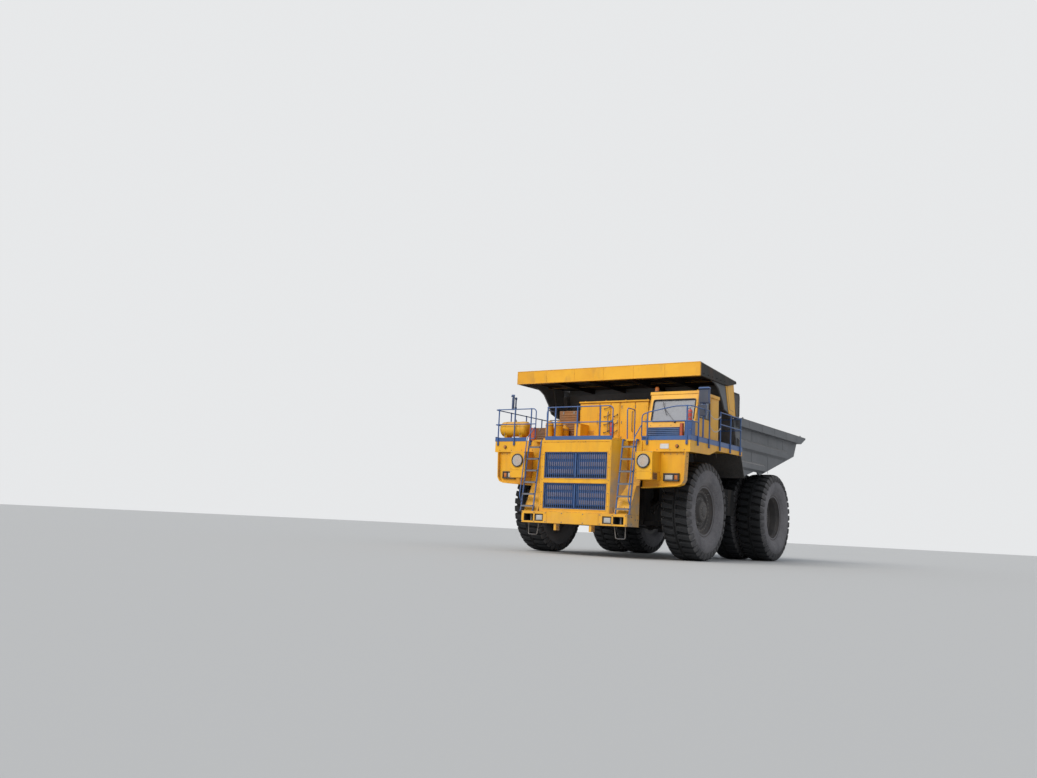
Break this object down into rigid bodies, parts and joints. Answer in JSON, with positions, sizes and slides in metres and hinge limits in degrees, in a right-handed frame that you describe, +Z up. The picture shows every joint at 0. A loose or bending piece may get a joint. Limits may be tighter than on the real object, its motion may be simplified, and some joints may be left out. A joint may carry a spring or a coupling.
{
  "type": "mining dump truck",
  "caption": "Rigid-frame quarry and mining dump truck with a tipping body, steered front wheels, twin rear wheels, an offset cab with a door, and deck railings.",
  "frame": {"origin": "on the ground, under the middle of the overall box", "axes": "+X to the truck's left, +Y to its rear, +Z up"},
  "size_m": [7.15, 11.5387, 5.82],
  "materials": {
    "yellow_paint": "worn, dusty gloss paint",
    "blue_paint": "faded gloss paint",
    "body_steel": "paint worn to grey, dusty steel",
    "frame_paint": "dark oily paint with dust",
    "rim_paint": "dark brown-grey, dusty",
    "tyre_rubber": "black rubber with grey dust",
    "rod_chrome": "bright rod",
    "glass": "dusty clear glass",
    "lamp_lens": "ribbed lens",
    "amber_lens": "amber lens",
    "black_plastic": "matte, moulded",
    "seat_fabric": "woven, padded",
    "rust_paint": "rusty orange paint",
    "red_paint": "gloss red paint",
    "rubber": "matte black rubber"
  },
  "bodies": {
    "chassis": {"chassis_frame": "frame_paint", "cross_members": "frame_paint", "front_towers": "frame_paint", "front_bumper": "yellow_paint", "engine_block": "frame_paint", "driveline": "frame_paint", "radiator_shell": "yellow_paint", "grille": "blue_paint", "front_fenders": "yellow_paint", "headlamps": "lamp_lens", "marker_lamps": "amber_lens", "deck": "yellow_paint", "railings": "blue_paint", "ladders": "yellow_paint", "front_louvre": "blue_paint", "fire_gear": "red_paint", "cab_shell": "yellow_paint", "cab_glass": "glass", "cab_seat": "seat_fabric", "cab_controls": "black_plastic", "equipment_cabinet": "yellow_paint", "air_tank": "yellow_paint", "deck_boxes": "rust_paint", "mirrors": "blue_paint", "beacon": "amber_lens", "fuel_tank": "frame_paint", "hydraulic_tank": "frame_paint", "front_struts": "frame_paint", "rear_struts": "frame_paint", "rear_axle": "frame_paint", "mud_guards": "rubber"},
    "cab_door": {"cab_door": "yellow_paint", "door_glass": "glass"},
    "knuckle_left": {"knuckle_left": "frame_paint"},
    "knuckle_right": {"knuckle_right": "frame_paint"},
    "tie_rod": {"tie_rod": "frame_paint"},
    "wheel_front_left": {"rim_front_left": "rim_paint", "tyre_front_left": "tyre_rubber"},
    "wheel_front_right": {"rim_front_right": "rim_paint", "tyre_front_right": "tyre_rubber"},
    "wheels_rear_left": {"rims_rear_left": "rim_paint", "tyres_rear_left": "tyre_rubber"},
    "wheels_rear_right": {"rims_rear_right": "rim_paint", "tyres_rear_right": "tyre_rubber"},
    "dump_body": {"body_floor": "body_steel", "body_sides": "body_steel", "body_front": "body_steel", "body_canopy": "yellow_paint"},
    "hoist_barrel_left": {"hoist_barrel_left": "frame_paint"},
    "hoist_rod_left": {"hoist_rod_left": "rod_chrome"},
    "hoist_barrel_right": {"hoist_barrel_right": "frame_paint"},
    "hoist_rod_right": {"hoist_rod_right": "rod_chrome"}
  },
  "joints": [
    {"name": "bed_hinge", "type": "hinge", "parent": "chassis", "child": "dump_body", "pos_m": [0, 3.6, 2.3], "axis": [-1, 0, 0], "range_deg": [0, 47]},
    {"name": "steer_left", "type": "hinge", "parent": "chassis", "child": "knuckle_left", "pos_m": [1.85, -2.9, 1.4], "axis": [0, 0, 1], "range_deg": [-35, 35]},
    {"name": "steer_right", "type": "hinge", "parent": "chassis", "child": "knuckle_right", "pos_m": [-1.85, -2.9, 1.4], "axis": [0, 0, 1], "range_deg": [-35, 35]},
    {"name": "tie_rod_slide", "type": "slide", "parent": "chassis", "child": "tie_rod", "axis": [1, 0, 0], "range_m": [-0.29, 0.29]},
    {"name": "wheel_front_left_turn", "type": "hinge", "parent": "knuckle_left", "child": "wheel_front_left", "pos_m": [2.595, -2.9, 1.48], "axis": [1, 0, 0], "continuous": true},
    {"name": "wheel_front_right_turn", "type": "hinge", "parent": "knuckle_right", "child": "wheel_front_right", "pos_m": [-2.595, -2.9, 1.48], "axis": [1, 0, 0], "continuous": true},
    {"name": "wheels_rear_left_turn", "type": "hinge", "parent": "chassis", "child": "wheels_rear_left", "pos_m": [2.3, 2.4, 1.48], "axis": [1, 0, 0], "continuous": true},
    {"name": "wheels_rear_right_turn", "type": "hinge", "parent": "chassis", "child": "wheels_rear_right", "pos_m": [-2.3, 2.4, 1.48], "axis": [1, 0, 0], "continuous": true},
    {"name": "cab_door_hinge", "type": "hinge", "parent": "chassis", "child": "cab_door", "pos_m": [3.04, -2.548, 4.2], "axis": [0, 0, -1], "range_deg": [0, 90]},
    {"name": "hoist_tilt_left", "type": "hinge", "parent": "chassis", "child": "hoist_barrel_left", "pos_m": [1.05, 1.7, 1.05], "axis": [-1, 0, 0], "range_deg": [0, 21.5]},
    {"name": "hoist_slide_left", "type": "slide", "parent": "hoist_barrel_left", "child": "hoist_rod_left", "axis": [0, -0.0787, 0.9969], "range_m": [0, 1.4703]},
    {"name": "hoist_tilt_right", "type": "hinge", "parent": "chassis", "child": "hoist_barrel_right", "pos_m": [-1.05, 1.7, 1.05], "axis": [-1, 0, 0], "range_deg": [0, 21.5]},
    {"name": "hoist_slide_right", "type": "slide", "parent": "hoist_barrel_right", "child": "hoist_rod_right", "axis": [0, -0.0787, 0.9969], "range_m": [0, 1.4703]}
  ],
  "couplings": [
    {"joint": "steer_right", "follows": "steer_left", "ratio": 1},
    {"joint": "tie_rod_slide", "follows": "steer_left", "m_per_rad": -0.47},
    {"joint": "hoist_tilt_left", "follows": "bed_hinge", "ratio": 0.454},
    {"joint": "hoist_slide_left", "follows": "bed_hinge", "m_per_rad": 1.79},
    {"joint": "hoist_tilt_right", "follows": "bed_hinge", "ratio": 0.454},
    {"joint": "hoist_slide_right", "follows": "bed_hinge", "m_per_rad": 1.79}
  ]
}
